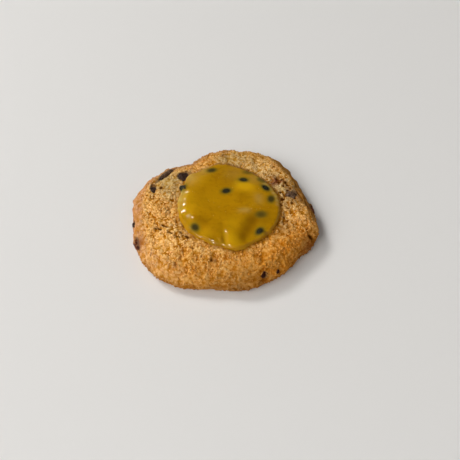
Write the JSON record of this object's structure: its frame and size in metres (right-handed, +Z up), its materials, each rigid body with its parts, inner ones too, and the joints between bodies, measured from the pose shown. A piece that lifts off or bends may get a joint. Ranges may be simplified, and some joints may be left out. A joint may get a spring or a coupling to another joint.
{
  "type": "chocolate chunk cookie",
  "caption": "Thick soft-baked round cookie with a craggy crust, chopped dark chocolate set in it and a glossy pool of seeded passion fruit curd in a shallow well on top.",
  "frame": {"origin": "middle of the flat underside, on the surface the cookie stands on", "axes": "+Z up, +X to the right and +Y to the back as the picture looks at it"},
  "size_m": [0.1077, 0.0996, 0.0194],
  "materials": {
    "baked_crumb": "baked dough: granular golden crumb, browner at the rim and paler beside the curd, matt with a faint butter sheen",
    "passion_fruit_curd": "wet, glossy, slightly translucent amber-yellow curd",
    "passion_fruit_seed": "near-black seeds under a thin film of curd",
    "dark_chocolate": "baked dark chocolate, satin, purple-brown with fine pores"
  },
  "bodies": {
    "root": {"cookie_crumb": "baked_crumb", "passion_fruit_curd": "passion_fruit_curd", "chocolate_chunk_1": "dark_chocolate", "chocolate_chunk_2": "dark_chocolate", "chocolate_chunk_3": "dark_chocolate", "chocolate_chunk_4": "dark_chocolate", "chocolate_chunk_5": "dark_chocolate", "chocolate_chunk_6": "dark_chocolate", "chocolate_chunk_7": "dark_chocolate", "chocolate_chunk_8": "dark_chocolate", "chocolate_chunk_9": "dark_chocolate"}
  },
  "joints": []
}
